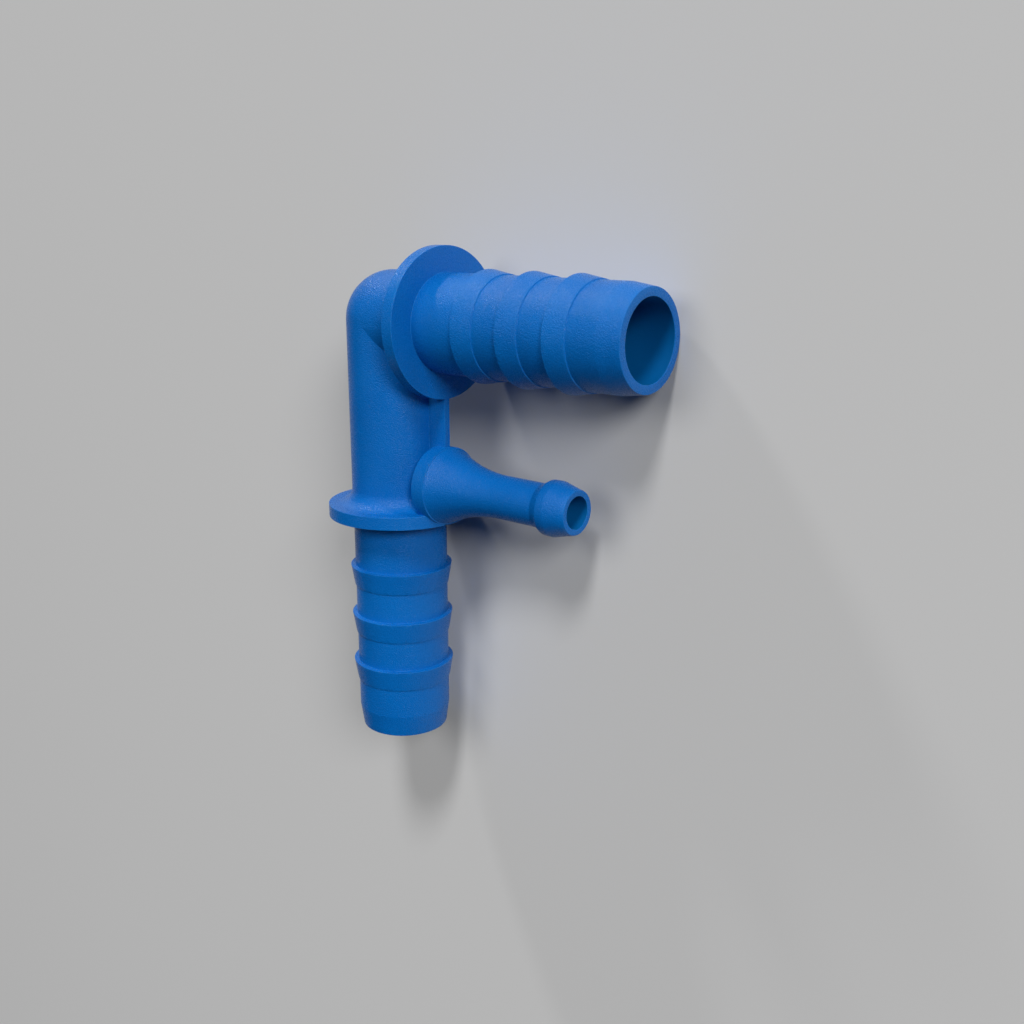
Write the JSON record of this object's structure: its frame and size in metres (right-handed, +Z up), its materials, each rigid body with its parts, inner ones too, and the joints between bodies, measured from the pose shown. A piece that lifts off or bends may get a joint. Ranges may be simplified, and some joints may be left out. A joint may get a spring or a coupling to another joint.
{
  "type": "vacuum hose connector",
  "caption": "Blue moulded elbow connector for vacuum hose, with barbed stubs at both ends, stop flanges and a small side nipple",
  "frame": {"origin": "on the floor that the part lies on, under the middle of its bounding box", "axes": "+X along the arm towards its mouth seen from above, +Y along the riser towards the elbow, +Z up; the part lies on the rims of its flanges and the end of the arm's stub"},
  "size_m": [0.0496, 0.066, 0.0191],
  "materials": {
    "connector": "fine matte mould texture with a soft sheen"
  },
  "bodies": {
    "root": {"connector": "connector"}
  },
  "joints": []
}
